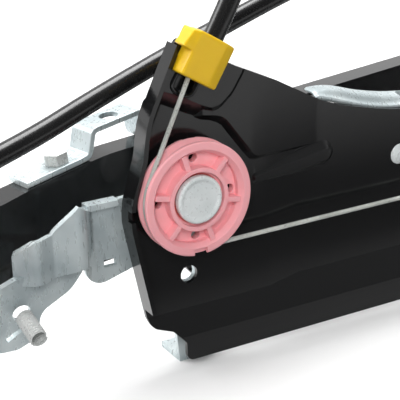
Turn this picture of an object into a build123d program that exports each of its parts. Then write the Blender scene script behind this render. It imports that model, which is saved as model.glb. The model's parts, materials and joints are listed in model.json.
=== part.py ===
"""Twin-rail cable window regulator for a car door, without its motor.

Two pressed rails each carry a horn pulley, a tail pulley and a glass carrier. One cable runs from the
drum through conduit 1 to the front rail, through conduit 2 to the rear rail and through conduit 3 back
to the drum, so that both carriers always move together.

Millimetres. x runs along the front rail, -y faces the pulleys, +z is up. The origin is the centre of
the front rail's datum hole, on the face of the plate. Each rail kit is made once in its own frame and
the rear kit is its mirror image, turned a little and set behind the front one.
"""
from build123d import *
import math
import os

os.makedirs("parts", exist_ok=True)

# Running fits and gaps
running_gap = 0.05
side_gap = 0.3
slide_gap = 0.4

# Rail sheet
sheet = 1.6
pulley_spacing = 560.0
pulley_height = 30.5
main_setback = 1.6
lip_front = -7.2
lip_top = -19.7
lip_bottom = -29.0
lip_end = pulley_spacing - 126.0
neck_bottom = 4.0
tail_bottom = -11.0
main_top = 42.5
top_flange_depth = 10.0
side_flange_height = 6.0
datum_radius = 3.2

# Pulley, its rivet and the cable
cable_radius = 0.85
cable_depth = 6.0
pulley_radius = 20.0
pulley_front = 9.5
pulley_back = 2.5
wrap_radius = 18.6
hub_radius = 11.1
counterbore_radius = 9.6
counterbore_depth = 2.0
barrel_radius = 4.9
rivet_head_radius = 8.4
horn_angle = 66.3
tail_angle = 10.2

# Conduits and their clips
conduit_radius = 3.5
clip_centre = (4.8, 77.3)
clip_angle = 58.0
clip_length = 14.6
clip_width = 17.0
clip_front = 11.6
tail_clip_start = 19.0
tail_clip_length = 14.0
tail_clip_half_width = 6.5

# Carriers
carrier_half = 28.0
front_rest = 280.0
rear_rest = 185.0
shoe_bottom = -31.4
carrier_front = 12.0
nipple_radius = 3.2
glass_hole_radius = 4.2
glass_hole_spacing = 44.0

# Rear rail placing
rear_turn = 12.92
rear_origin = (445.8, 123.5)

# Drum
drum_centre = (500.0, 215.0, 4.5)
drum_cable_radius = 22.0
drum_half = 7.0
port_angle = 135.0
port_reach = 40.0
spindle_radius = 5.0
housing_wall = 2.6
motor_bolt_circle = 44.0
motor_bolt_radius = 2.6
floor_level = -33.5

# Rail form: how far its pressings stand out, and how far the horn's plane reaches
land_height = 4.0
panel_height = 2.4
panel_left = 26.0
panel_right = 56.0
jog_start = 33.0
jog_end = 46.0
tail_jog = pulley_spacing - 52.0
tail_drop = 35.6
slope_start = pulley_spacing - 82.0
slope_run = 55.0
hump_slope = (main_top - tail_drop) / slope_run
form_depth = 34.0
form_top = 110.0
form_bottom = -50.0
form_left = -40.0
form_right = pulley_spacing + 60.0
slot_places = [190.0, 370.0]
slot_radius = 4.0
slot_half = 5.0
slot_height = 25.0

# Small rivets: one behind each pulley, two that hold the top bracket
rivet_shank = 2.4
rivet_head = 3.9
hidden_rivets = [(4.0, 14.0), (pulley_spacing - 4.0, 14.0)]
leg_rivets = [(91.0, 26.0), (118.0, 26.0)]

# Brackets, their stud, bolt and screw holes
bracket_sheet = 2.0
foot_top = -6.0
foot_depth = 14.0
foot_hole_y = sheet + 8.0
screw_hole_radius = 3.3
fan_tilt = 14.0
fan_front = -7.0
fan_top = 15.8
stud_place = (-63.6, 3.2)
rim_right = -25.6
rim_top = 33.2
rim_depth = 2.4
strap_bend = 2.0
stud_radius = 3.0
stud_length = 18.0
hook_start = 108.0
bracket_end = 128.0
bridge_height = 50.0
bridge_hole_x = 98.0
hump_start = pulley_spacing - 106.0
hump_width = 11.0
bolt_x = pulley_spacing - 66.0
bolt_y = main_setback + 6.4
bolt_radius = 2.5
horn_edge_u = 2.7
fork_clearance = 0.3

# Carrier details
carrier_sheet = 2.0
carrier_top = 20.0
plate_top = 66.0
screw_side = 20.0
screw_z = -8.0
screw_radius = 2.5
nipple_side = 17.0
nipple_length = 10.0

# Drum and housing details
socket_radius = 7.0
socket_outer = 10.0
socket_depth = 6.0
socket_proud = 5.0
housing_inner = drum_cable_radius + 4.0
housing_front = -drum_half - side_gap - 3.0
housing_back = drum_half + side_gap
housing_floor = 3.0
port_radius = 5.6
port_depth = 12.0
motor_turn = 90.0
boss_radius = 6.0
cover_sheet = 2.4
cover_screw_radius = 1.1
cover_screw_head = 2.4


def prism(points, along):
    """Solid between a flat polygon of 3-D points and its copy moved by a vector."""
    face = make_face(Polyline(*points, close=True))
    step = Vector(*along)
    return extrude(face, amount=step.length, dir=step.normalized())


def side_face(points, radii, y=0.0):
    """Rounded outline in the plane of the rail, from (x, z) points."""
    path = FilletPolyline(*[(x, y, z) for x, z in points], radius=radii, close=True)
    return make_face(path)


def side_plate(points, radii, y0, y1):
    """Flat plate parallel to the rail, between two depths."""
    return extrude(side_face(points, radii, y0), amount=y1 - y0, dir=(0, 1, 0))


def across(radius, x, z, y0, y1):
    """Cylinder square to the rail, between two depths."""
    middle = (x, (y0 + y1) / 2, z)
    return Location(middle, (90, 0, 0)) * Cylinder(radius, y1 - y0)


def ring_solid(profile, x=0.0, z=0.0):
    """Solid turned about an axis square to the rail, from (radius, y) points."""
    face = make_face(Polyline(*[(r, y, 0) for r, y in profile], close=True))
    return Location((x, 0, z)) * revolve(face, Axis.Y, 360)


def group(shapes):
    """Separate solids kept together as one piece of the list."""
    return Compound([solid for shape in shapes for solid in shape.solids()])


def block(x0, x1, y0, y1, z0, z1):
    return Location(((x0 + x1) / 2, (y0 + y1) / 2, (z0 + z1) / 2)) * Box(x1 - x0, y1 - y0, z1 - z0)


def pressed(points, radii, height, depth, taper):
    """Pressing whose flat top stands out by height, with sloping walls, reaching back by depth."""
    return extrude(side_face(points, radii, -height), amount=depth, dir=(0, 1, 0), taper=-taper)


# Rail form: the surface that the sheet follows, as a deep solid
def web_bend(front):
    """Height at which the plate, at that depth, turns into the sloping web."""
    return lip_top + front - lip_front


def rail_form():
    main = prism(
        [
            (form_left, main_setback, form_top),
            (form_left, main_setback, web_bend(main_setback)),
            (form_left, lip_front, lip_top),
            (form_left, lip_front, form_bottom),
            (form_left, form_depth, form_bottom),
            (form_left, form_depth, form_top),
        ],
        (form_right - form_left, 0, 0),
    )
    rise = (0, 0, form_top - form_bottom)
    horn = prism(
        [
            (form_left, 0, form_bottom),
            (jog_start, 0, form_bottom),
            (jog_end, main_setback, form_bottom),
            (jog_end, form_depth, form_bottom),
            (form_left, form_depth, form_bottom),
        ],
        rise,
    )
    tail = prism(
        [
            (tail_jog, main_setback, form_bottom),
            (tail_jog + jog_end - jog_start, 0, form_bottom),
            (form_right, 0, form_bottom),
            (form_right, form_depth, form_bottom),
            (tail_jog, form_depth, form_bottom),
        ],
        rise,
    )
    return main + horn + tail + clip_land() + upper_panel() + dart()


def clip_land():
    """Flat that stands out from the horn, under the yellow clip."""
    points = [(-40, 74), (-11, 68.8), (-3, 65.6), (4.2, 61.4), (10.2, 58.8), (16.2, 63.6), (21.2, 71)]
    points += [(25, 100), (-40, 100)]
    return pressed(points, [0, 3, 6, 6, 4, 10, 10, 0, 0], land_height, 8.0, 50.0)


def upper_panel():
    """Panel right of the pulley that stands out and runs back into the main face."""
    points = [(6, 57), (14, 55.5), (21, 46), (26.5, 38.6), (54, 41.0), (70, 44), (70, 100), (6, 100)]
    raised = pressed(points, [0, 8, 20, 3, 3, 0, 0, 0], panel_height, 9.0, 42.0)
    slope = prism(
        [
            (-10, -panel_height, 0),
            (panel_left, -panel_height, 0),
            (panel_right, main_setback + 0.2, 0),
            (panel_right, form_depth, 0),
            (-10, form_depth, 0),
        ],
        (0, 0, form_top),
    )
    return raised & slope


def dart():
    """Tapered bead below the panel."""
    points = [(27, 28.6), (57, 31.0), (59.5, 33.0), (57, 35.4), (45, 33.4), (27, 30.8)]
    return pressed(points, [0.8, 1.6, 1.6, 1.6, 8, 0.8], 0.9, 5.0, 45.0)


horn_outline = [
    ((-16.4, -15.5), 3.0),
    ((-24.7, 28.0), 26.0),
    ((-18.4, 46.5), 16.0),
    ((-16.8, 58.5), 34.0),
    ((-3.6, 85.2), 1.6),
    ((11.5, 76.0), 2.0),
    ((17.0, 72.9), 3.0),
    ((36.0, 63.8), 40.0),
    ((60.0, 50.4), 50.0),
    ((92.0, main_top), 90.0),
]
tail_outline = [
    ((slope_start, main_top), 90.0),
    ((slope_start + slope_run, tail_drop), 5.0),
    ((pulley_spacing - 20, 60.0), 5.0),
    ((pulley_spacing + 2, 62.0), 12.0),
    ((pulley_spacing + 26, 46.0), 14.0),
    ((pulley_spacing + 26, 4.0), 12.0),
    ((pulley_spacing + 14, tail_bottom), 6.0),
    ((pulley_spacing - 16, tail_bottom), 6.0),
    ((pulley_spacing - 30, neck_bottom), 10.0),
    ((lip_end + 18, neck_bottom), 8.0),
    ((lip_end + 4, lip_top), 3.0),
    ((lip_end, lip_top - 4.0), 2.0),
    ((lip_end, lip_bottom), 2.5),
    ((-5.5, lip_bottom), 2.5),
    ((-5.5, -22.0), 3.0),
    ((-9.5, -17.6), 2.0),
]


def outline_face(y):
    corners = horn_outline + tail_outline
    return side_face([point for point, _ in corners], [radius for _, radius in corners], y)


def edge_band(y0, y1):
    """Ring of sheet thickness just inside the rail's outline."""
    outer = outline_face(y0)
    inner = offset(outer, amount=-sheet)
    return extrude(outer - inner, amount=y1 - y0, dir=(0, 1, 0))


def rail():
    form = rail_form()
    skin = form - Pos(0, sheet, 0) * form
    plate = skin & extrude(outline_face(-20), amount=60, dir=(0, 1, 0))

    flange_front = -side_flange_height
    side_zone = prism(
        [(-40, -20, -9), (-12, -20, -9), (-12, -20, 52), (-4.6, -20, 72), (-4.6, -20, 90), (-40, -20, 90)],
        (0, 40, 0),
    )
    side_flange = edge_band(flange_front, sheet / 2) & side_zone
    top_zone = prism(
        [
            (19, -20, 68),
            (40, -20, 50),
            (90, -20, 36),
            (slope_start, -20, 36),
            (slope_start + slope_run - 5, -20, 30),
            (slope_start + slope_run - 5, -20, 60),
            (19, -20, 90),
        ],
        (0, 60, 0),
    )
    top_flange = edge_band(-panel_height - 1, top_flange_depth + main_setback) & top_zone & form

    body = plate + side_flange + top_flange

    relief = block(-23.4, -20.6, -1, 3, 22.5, 27.4) + block(-40, -18, -7, -3.4, 26.0, 29.6)
    body -= relief
    for x in (0, pulley_spacing):
        body -= across(barrel_radius - 0.4, x, pulley_height, -5, 10)
    body -= across(datum_radius, 0, 0, -5, 10)
    body -= across(datum_radius, pulley_spacing, 0, -5, 10)
    low = slot_height - slot_radius
    for x in slot_places:
        body -= block(x - slot_half, x + slot_half, -5, 10, low, low + 2 * slot_radius)
        body -= across(slot_radius, x - slot_half, slot_height, -5, 10)
        body -= across(slot_radius, x + slot_half, slot_height, -5, 10)
    for x, z in hidden_rivets + leg_rivets:
        body -= across(rivet_shank, x, z, -5, 10)
    body -= clip_slot()
    body -= bolt_frame() * Cylinder(bolt_radius, 10)
    return body


def clip_frame(y=0.0):
    """Frame at the clip's centre whose x runs along the cable and whose z faces away from the rail."""
    x, z = clip_centre
    angle = math.radians(clip_angle)
    return Plane(
        origin=(x, y, z),
        x_dir=(math.cos(angle), 0, math.sin(angle)),
        z_dir=(0, -1, 0),
    )


def in_clip(u0, u1, v0, v1, y0, y1):
    """Block in the clip's frame: u along the cable, v across to the left, y depth."""
    centre = Location(((u0 + u1) / 2, (v0 + v1) / 2, -(y0 + y1) / 2))
    return clip_frame().location * centre * Box(u1 - u0, v1 - v0, y1 - y0)


def clip_slot():
    """Fork in the horn that takes the conduit's end and the cable below it."""
    conduit_part = in_clip(-2.0, 12, -3.8, 3.8, -8, 6)
    cable_part = in_clip(-12.5, 0, -2.6, 4.4, -8, 6)
    return conduit_part + cable_part


def pulley():
    """Moulded pulley about an axis through the origin, square to the rail."""
    front = -pulley_front
    back = -pulley_back
    middle = -cable_depth
    floor = wrap_radius - cable_radius - side_gap
    body = ring_solid(
        [
            (barrel_radius + running_gap, front + counterbore_depth),
            (counterbore_radius, front + counterbore_depth),
            (counterbore_radius, front),
            (hub_radius, front),
            (hub_radius, front + 4.0),
            (floor - 1.6, front + 4.0),
            (floor - 1.6, front + 1.9),
            (floor - 0.2, front),
            (pulley_radius - 0.4, front),
            (pulley_radius, front + 0.4),
            (pulley_radius, middle - 2.2),
            (floor + 0.6, middle - 1.0),
            (floor, middle),
            (floor + 0.6, middle + 1.0),
            (pulley_radius, middle + 2.2),
            (pulley_radius, back - 0.4),
            (pulley_radius - 0.4, back),
            (barrel_radius + running_gap, back),
        ]
    )
    rib = block(hub_radius - 0.6, floor - 1.0, front + 0.6, front + 4.2, -0.9, 0.9)
    for turn in range(6):
        body += Rot(0, 12 - 60 * turn, 0) * rib
    for turn in range(4):
        angle = math.radians(90 * turn)
        body -= across(1.6, 13.8 * math.cos(angle), 13.8 * math.sin(angle), front - 1, back + 1)
    body -= block(-2.5, 2.5, front - 1, front + 1.6, -pulley_radius - 1, -pulley_radius + 2.5)
    body -= block(-2.5, 2.5, back - 1.0, back + 1, pulley_radius - 2.5, pulley_radius + 1)
    return body


def pulley_rivet():
    """Shouldered rivet that the pulley turns on."""
    head_back = -pulley_front + counterbore_depth - side_gap
    head_front = head_back - 2.5
    shoulder = -pulley_back + side_gap
    grip = sheet + bracket_sheet
    return ring_solid(
        [
            (0, head_front + 0.35),
            (rivet_head_radius - 2.2, head_front + 0.35),
            (rivet_head_radius - 1.2, head_front),
            (rivet_head_radius - 0.5, head_front),
            (rivet_head_radius, head_front + 0.5),
            (rivet_head_radius, head_back),
            (barrel_radius, head_back),
            (barrel_radius, shoulder),
            (8.0, shoulder),
            (8.0, 0),
            (barrel_radius - 0.4, 0),
            (barrel_radius - 0.4, grip),
            (6.8, grip),
            (6.4, grip + 1.4),
            (0, grip + 1.8),
        ]
    )


def along(angle):
    turn = math.radians(angle)
    return Vector(math.cos(turn), 0, math.sin(turn))


def conduit_mouth():
    """Point on the cable plane where conduit 1's end sits inside the horn clip, and its direction."""
    frame = clip_frame(-cable_depth)
    mouth = frame.from_local_coords(Vector(-0.5, 0, 0))
    return Plane(origin=mouth, x_dir=frame.x_dir, z_dir=frame.z_dir)


def horn_entry():
    """Where the cable leaves the horn pulley, and where it bends into the clip's own direction."""
    turn = math.radians(horn_angle + 90)
    leave = Vector(wrap_radius * math.cos(turn), -cable_depth, pulley_height + wrap_radius * math.sin(turn))
    return leave, leave + along(horn_angle) * 36.5


def tail_line():
    """Where the cable leaves the tail pulley, and its direction towards the tail clip."""
    turn = math.radians(90 - tail_angle)
    leave = Vector(
        pulley_spacing + wrap_radius * math.cos(turn),
        -cable_depth,
        pulley_height + wrap_radius * math.sin(turn),
    )
    return leave, along(180 - tail_angle)


def cable_end():
    """End of the visible cable, just short of the conduit's inner end."""
    mouth = conduit_mouth()
    return mouth.origin - mouth.x_dir


def horn_cable_path():
    leave, entry = horn_entry()
    return FilletPolyline(cable_end(), entry, leave, radius=9)


def cable():
    """Cable of one rail, from clip to clip along both pulleys, as it lies at rest."""
    leave, entry = horn_entry()
    low = pulley_height - wrap_radius
    horn_side = Vector(-wrap_radius, -cable_depth, pulley_height)
    horn_low = Vector(0, -cable_depth, low)
    tail_low = Vector(pulley_spacing, -cable_depth, low)
    tail_side = Vector(pulley_spacing + wrap_radius, -cable_depth, pulley_height)
    tail_leave, away = tail_line()
    tail_mouth = tail_leave + away * (tail_clip_start + 2.7)
    path = (
        horn_cable_path()
        + ThreePointArc(leave, horn_side, horn_low)
        + Line(horn_low, tail_low)
        + ThreePointArc(tail_low, tail_side, tail_leave)
        + Line(tail_leave, tail_mouth)
    )
    first = Plane(cable_end(), z_dir=entry - cable_end())
    return sweep(first * Circle(cable_radius), path)


def clip_point(u, v, y):
    return clip_frame().from_local_coords(Vector(u, v, 0)) + Vector(0, y, 0)


def in_clip_plate(points, y0, y1):
    """Plate in the clip's frame from (u, v) points, between two depths."""
    return prism([clip_point(u, v, y0) for u, v in points], (0, y1 - y0, 0))


def horn_clip():
    """Yellow end piece of conduit 1, a cap that slides over the horn's fork."""
    top = clip_length / 2
    left = clip_width / 2 - 0.2
    right = -clip_width / 2
    face = -clip_front
    seat = -land_height
    section = [
        (left, seat),
        (left, face + 0.8),
        (left - 0.8, face),
        (right + 3.6, face),
        (right + 0.6, face + 1.6),
        (right, face + 2.4),
        (right, seat),
    ]
    length = clip_point(top, 0, 0) - clip_point(-top, 0, 0)
    body = prism([clip_point(-top, v, y) for v, y in section], (length.X, length.Y, length.Z))
    bridge_start = horn_edge_u + fork_clearance
    body += in_clip(bridge_start, top, right, left, seat - 1, 1.2)
    body += in_clip(-2.2, top, right + 2, left, sheet - land_height + fork_clearance, 1.2)
    hook = [(1.2, left - 1), (1.2, left + 2.9), (4.3, left + 3.2), (top, left + 1.4), (top, left - 1)]
    body += in_clip_plate(hook, face + 1.2, -side_flange_height - 0.3)
    hook_back = [(bridge_start + 0.6, left - 1), (4.3, left + 3.0), (top, left + 1.4), (top, left - 1)]
    body += in_clip_plate(hook_back, -side_flange_height - 0.5, 1.2)
    seat_radius = conduit_radius + running_gap
    mouth = conduit_mouth()
    body -= mouth.location * Rot(0, 90, 0) * Pos(0, 0, 10) * Cylinder(seat_radius, 20)
    channel_start = Plane(cable_end(), z_dir=horn_entry()[1] - cable_end())
    channel = sweep(channel_start * Circle(cable_radius + 0.55), horn_cable_path())
    return body - channel


def tail_clip():
    """Yellow end piece of conduit 2, clipped to the tail's tab."""
    leave, away = tail_line()
    frame = Plane(origin=leave + away * tail_clip_start, x_dir=away, z_dir=(0, -1, 0))
    half = tail_clip_half_width
    depth = clip_front - cable_depth
    section = [(-half, cable_depth), (half, cable_depth), (half, -depth + 1), (half - 1, -depth)]
    section += [(1 - half, -depth), (-half, 1 - depth)]
    start = frame.origin
    up = frame.y_dir
    points = [start + up * v + Vector(0, y, 0) for v, y in section]
    step = away * tail_clip_length
    body = prism(points, (step.X, step.Y, step.Z))
    axis = Plane(origin=start, z_dir=away)
    body -= axis.location * Pos(0, 0, 3 + 10) * Cylinder(conduit_radius + running_gap, 20)
    body -= axis.location * Cylinder(cable_radius + 0.55, 40)
    return body


def offset_strip(points, thickness, radius):
    """Outline of a bent strip: the points, then the same run moved to their left by its thickness."""
    count = len(points)
    shifted = []
    turns = []
    for i in range(count):
        before = points[max(i - 1, 0)]
        here = points[i]
        after = points[min(i + 1, count - 1)]
        a = (here[0] - before[0], here[1] - before[1]) if i else (after[0] - here[0], after[1] - here[1])
        b = (after[0] - here[0], after[1] - here[1]) if i < count - 1 else a
        a_len = math.hypot(*a)
        b_len = math.hypot(*b)
        a = (a[0] / a_len, a[1] / a_len)
        b = (b[0] / b_len, b[1] / b_len)
        normal = (-(a[1] + b[1]) / 2, (a[0] + b[0]) / 2)
        size = normal[0] ** 2 + normal[1] ** 2
        shifted.append((here[0] + normal[0] / size * thickness, here[1] + normal[1] / size * thickness))
        turns.append(a[0] * b[1] - a[1] * b[0])
    near = [0 if i in (0, count - 1) else radius + (thickness if turns[i] > 0 else 0) for i in range(count)]
    far = [0 if i in (0, count - 1) else radius + (0 if turns[i] > 0 else thickness) for i in range(count)]
    return points + shifted[::-1], near + far[::-1]


def stud_bracket():
    """Zinc bracket behind the horn: plate, forward ridge, arm and the flange that holds the stud."""
    back = sheet
    plate_points = [(-38, 31.5), (-38, 2.2), (-12, 9.4), (-7, 4), (-6, foot_top), (-4, floor_level)]
    plate_points += [(9, floor_level), (11, foot_top), (12, 20), (11, 37), (4, 43), (-6, 43), (-12, 33.5)]
    radii = [0, 6, 4, 4, 4, 2, 2, 4, 10, 6, 6, 6, 6]
    plate = side_plate(plate_points, radii, back, back + bracket_sheet)
    foot = block(-4, 9, back, back + foot_depth, floor_level, floor_level + bracket_sheet)
    plan = [(-30, back + bracket_sheet), (-36.5, back + bracket_sheet), (-43.9, -10.4), (-52.3, -5.8)]
    plan += [(-58.7, -8.2), (-64.4, -3.2)]
    outline, radius = offset_strip(plan, bracket_sheet, strap_bend)
    strap_path = FilletPolyline(*[(x, y, 10) for x, y in outline], radius=radius, close=True)
    strap = extrude(make_face(strap_path), amount=32, dir=(0, 0, 1))
    front_cut = [(-30, 31.5), (-36, 31.5), (-44.7, 38.1), (-53.2, 29.3), (-59.7, 28.7), (-67.7, 22)]
    front_cut += [(-67.7, 13.3), (-53.7, 14.3), (-45.2, 16.5), (-30, 16.5)]
    strap = strap & prism([(x, -30, z) for x, z in front_cut], (0, 60, 0))
    rim = block(-37, rim_right, back - rim_depth, back + bracket_sheet, rim_top - bracket_sheet, rim_top)
    slot = block(-31.2, -26.6, 0, 6, 9.4, 12.0)
    body = plate + foot + strap + fan() + rim - slot
    body -= across(barrel_radius - 0.4, 0, pulley_height, 0, 6)
    body -= across(rivet_shank, *hidden_rivets[0], 0, 6)
    body -= across(datum_radius, 0, 0, 0, 6)
    body -= Location((2.5, foot_hole_y, floor_level)) * Cylinder(screw_hole_radius, 10)
    return body


def fan_plane():
    """Plane of the flange that holds the stud, its z facing out along the stud."""
    tilt = math.radians(fan_tilt)
    return Plane(origin=on_fan(-50, fan_top), x_dir=(1, 0, 0), z_dir=(0, -math.cos(tilt), -math.sin(tilt)))


def on_fan(x, z):
    """Point of the flange's face at that x and height."""
    return Vector(x, fan_front - (z - fan_top) * math.tan(math.radians(fan_tilt)), z)


def fan():
    corners = [
        ((-42.1, 14.5), 0.8),
        ((-53.7, 16.1), 8),
        ((-64.3, 17.2), 14),
        ((-74.5, 13.0), 4),
        ((-75.5, 0.0), 8),
        ((-73.5, -10.7), 5),
        ((-64.5, -11.3), 4),
        ((-57.9, -8.3), 3),
        ((-56.7, 1.7), 6),
        ((-46.5, 7.7), 10),
    ]
    points = [on_fan(x, z) for (x, z), _ in corners]
    path = FilletPolyline(*points, radius=[radius for _, radius in corners], close=True)
    tilt = math.radians(fan_tilt)
    plate = extrude(make_face(path), amount=bracket_sheet, dir=(0, math.cos(tilt), math.sin(tilt)))
    hole = stud_frame().location * Cylinder(stud_radius + 0.1, 12)
    slit_plane = Plane(origin=on_fan(-66.2, -4.9), x_dir=(1, 0, 0.7), z_dir=fan_plane().z_dir)
    slit = slit_plane.location * Box(6, 1.8, 12)
    return plate - hole - slit


def stud_frame():
    return Plane(origin=on_fan(*stud_place), x_dir=(1, 0, 0), z_dir=fan_plane().z_dir)


def mounting_stud():
    """Dog-point stud pressed through the flange from behind."""
    shape = [
        (0, -bracket_sheet - 1.6),
        (5.0, -bracket_sheet - 1.6),
        (5.0, -bracket_sheet),
        (stud_radius + 0.1, -bracket_sheet),
        (stud_radius + 0.1, 0),
        (4.4, 0),
        (4.4, 0.6),
        (stud_radius, 1.2),
        (stud_radius, stud_length - 3.6),
        (2.2, stud_length - 2.6),
        (2.2, stud_length - 0.4),
        (1.8, stud_length),
        (0, stud_length),
    ]
    profile = make_face(Polyline(*[(r, 0, h) for r, h in shape], close=True))
    return stud_frame().location * revolve(profile, Axis.Z, 360)


def top_bracket():
    """Zinc bracket hooked over the top flange and riveted through the main face."""
    back = main_setback + sheet
    free_edge = main_setback + top_flange_depth
    hook = [
        (back + 1.4, main_top),
        (free_edge + 0.4, main_top),
        (free_edge + 0.4, 35.0),
        (back, 33.5),
        (back, 18.0),
    ]
    outline, radius = offset_strip(hook, bracket_sheet, 0.5)
    path = FilletPolyline(*[(hook_start, y, z) for y, z in outline], radius=radius, close=True)
    body = extrude(make_face(path), amount=bracket_end - hook_start, dir=(1, 0, 0))
    leg = [(84, 18), (bracket_end, 18), (bracket_end, 31), (96, 33), (84, 31)]
    body += side_plate(leg, [4, 4, 0, 4, 4], back, back + bracket_sheet)
    bridge = [(50.5, 57.4), (56.5, 60.2), (66, 57.4), (79, 52.6), (91, bridge_height), (106, bridge_height)]
    bridge += [(111, main_top), (bracket_end, main_top)]
    outline, radius = offset_strip(bridge, bracket_sheet, 2.0)
    body += side_plate(outline, radius, back + 1.4, back + 9.4)
    body -= Location((bridge_hole_x, back + 5.4, bridge_height)) * Cylinder(screw_hole_radius, 12)
    for x, z in leg_rivets:
        body -= across(rivet_shank, x, z, back - 1, back + bracket_sheet + 1)
    return body


def tail_bracket():
    """Zinc plate behind the tail, with a foot and an ear for the door's inner panel."""
    back = sheet
    x = pulley_spacing
    points = [(x - 10, 43), (x - 14, 30), (x - 12, 4), (x - 11, foot_top), (x - 9, floor_level)]
    points += [(x + 4, floor_level), (x + 6, foot_top), (x + 10, 6), (x + 16, 20), (x + 14, 43)]
    plate = side_plate(points, [6, 10, 10, 4, 2, 2, 3, 10, 8, 6], back, back + bracket_sheet)
    foot = block(x - 9, x + 4, back, back + foot_depth, floor_level, floor_level + bracket_sheet)
    body = plate + foot
    body -= across(barrel_radius - 0.4, x, pulley_height, 0, 6)
    body -= across(rivet_shank, *hidden_rivets[1], 0, 6)
    body -= across(datum_radius, x, 0, 0, 6)
    body -= Location((x - 2.5, foot_hole_y, floor_level)) * Cylinder(screw_hole_radius, 10)
    return body


def tail_edge(x):
    """Height of the rail's top edge on its way down to the tail."""
    return main_top - max(0, x - slope_start) * hump_slope


def hump_bracket():
    """Zinc strap on the rail's top flange, with the raised seat for a door bolt."""
    x = hump_start
    seat_high = (x + 7.5, 52.6)
    seat_low = (x + 27, 50.6)
    run = [(x, tail_edge(x)), (x + 5, tail_edge(x + 5)), seat_high, seat_low]
    run += [(x + 29, tail_edge(x + 29) + 0.3), (x + 34, tail_edge(x + 34)), (x + 56, tail_edge(x + 56))]
    outline, radius = offset_strip(run, bracket_sheet, 1.2)
    front = main_setback + 1.0
    body = side_plate(outline, radius, front, front + hump_width)
    tilt = math.degrees(math.atan((seat_high[1] - seat_low[1]) / (seat_low[0] - seat_high[0])))
    place = Location((x + 17, front + hump_width / 2, seat_high[1])) * Rot(0, tilt, 0)
    body -= place * Cylinder(screw_hole_radius, 10)
    body -= bolt_frame() * Cylinder(bolt_radius, 10)
    return body


def bolt_frame():
    """Frame of the bolt on the sloping top flange, its z square to the flange."""
    tilt = math.degrees(math.atan(hump_slope))
    return Location((bolt_x, bolt_y, tail_edge(bolt_x))) * Rot(0, tilt, 0)


def hump_bolt():
    """Hexagon bolt and nut that clamp the strap to the top flange."""
    place = bolt_frame()
    head = Pos(0, 0, bracket_sheet + 2.0) * extrude(RegularPolygon(4.6, 6), amount=2.0, both=True)
    shank = Pos(0, 0, -1.5) * Cylinder(bolt_radius - running_gap, 7.0)
    washer = Pos(0, 0, -sheet - 1.6 - 0.2) * extrude(RegularPolygon(4.4, 6), amount=1.6, both=True)
    return place * (head + shank + washer)


def small_rivet(x, z, face, grip):
    """Round-head rivet square to the rail."""
    shape = [
        (0, face - 1.5),
        (2.4, face - 1.3),
        (rivet_head, face - 0.4),
        (rivet_head, face),
        (rivet_shank, face),
        (rivet_shank, face + grip),
        (3.4, face + grip),
        (3.2, face + grip + 1.1),
        (0, face + grip + 1.2),
    ]
    return ring_solid(shape, x, z)


def bracket_rivets():
    grip = sheet + bracket_sheet
    rivets = [small_rivet(x, z, 0, grip) for x, z in hidden_rivets]
    rivets += [small_rivet(x, z, main_setback, grip) for x, z in leg_rivets]
    return group(rivets)


def carrier_body():
    """Moulded slider that straddles the rail's lip and holds both cable ends."""
    gap = 0.6
    back = -gap
    lip_back = lip_front + sheet
    profile = [
        (-carrier_front, shoe_bottom),
        (-2.6, shoe_bottom),
        (-2.6, -21.8),
        (lip_back + slide_gap, -21.8),
        (lip_back + slide_gap, lip_bottom - 0.4),
        (lip_front - slide_gap, lip_bottom - 0.4),
        (lip_front - slide_gap, lip_top + 0.1),
        (back, web_bend(0) + 0.5),
        (back, carrier_top),
        (-carrier_front, carrier_top),
    ]
    body = prism([(-carrier_half, y, z) for y, z in profile], (2 * carrier_half, 0, 0))
    low = pulley_height - wrap_radius
    body -= block(-carrier_half - 1, carrier_half + 1, -cable_depth - 1.3, 1, low - 1.3, low + 1.3)
    pocket = nipple_length / 2 + side_gap
    for side in (-1, 1):
        centre = side * nipple_side
        body -= block(centre - pocket, centre + pocket, -cable_depth - 3.5, 1, low - 3.5, low + 3.5)
        body -= block(side * 8 - 5, side * 8 + 5, -carrier_front - 1, -9.4, -16, 2)
        body -= across(screw_radius + running_gap, side * screw_side, screw_z, -carrier_front - 1, -4)
        corner = side * carrier_half
        inner = corner - side * 12
        body -= block(min(corner, inner), max(corner, inner), -20, 2, carrier_top - 3.5, carrier_top + 2)
    return body


def carrier_plate():
    """Stamped plate on the slider that the glass is bolted to."""
    outline = [(-34, -14), (34, -14), (34, 22), (30, 40), (30, plate_top), (-30, plate_top), (-30, 40)]
    outline += [(-34, 22)]
    front = -carrier_front - carrier_sheet
    body = side_plate(outline, [4, 4, 8, 12, 6, 6, 12, 8], front, -carrier_front)
    body -= block(-10, 10, -20, 0, 24, 38)
    for side in (-1, 1):
        body -= across(glass_hole_radius, side * glass_hole_spacing / 2, 54, front - 1, 0)
        body -= across(screw_radius + running_gap, side * screw_side, screw_z, front - 1, 0)
        body += block(side * 29 - 1, side * 29 + 1, front - 5, front + 0.5, 0, 60)
    return body


def carrier_screws():
    front = -carrier_front - carrier_sheet
    shape = [
        (0, front - 2.6),
        (1.6, front - 2.6),
        (3.4, front - 1.8),
        (4.6, front),
        (screw_radius, front),
        (screw_radius, -5.0),
        (1.6, -4.2),
        (0, -4.2),
    ]
    return group([ring_solid(shape, side * screw_side, screw_z) for side in (-1, 1)])


def cable_nipples():
    """Cast ends of the two cables, seated in the slider's pockets."""
    low = pulley_height - wrap_radius
    parts = []
    for side in (-1, 1):
        place = Location((side * nipple_side, -cable_depth, low), (0, 90, 0))
        hole = Cylinder(cable_radius + side_gap, nipple_length + 2)
        parts.append(place * (Cylinder(nipple_radius, nipple_length) - hole))
    return group(parts)


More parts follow.
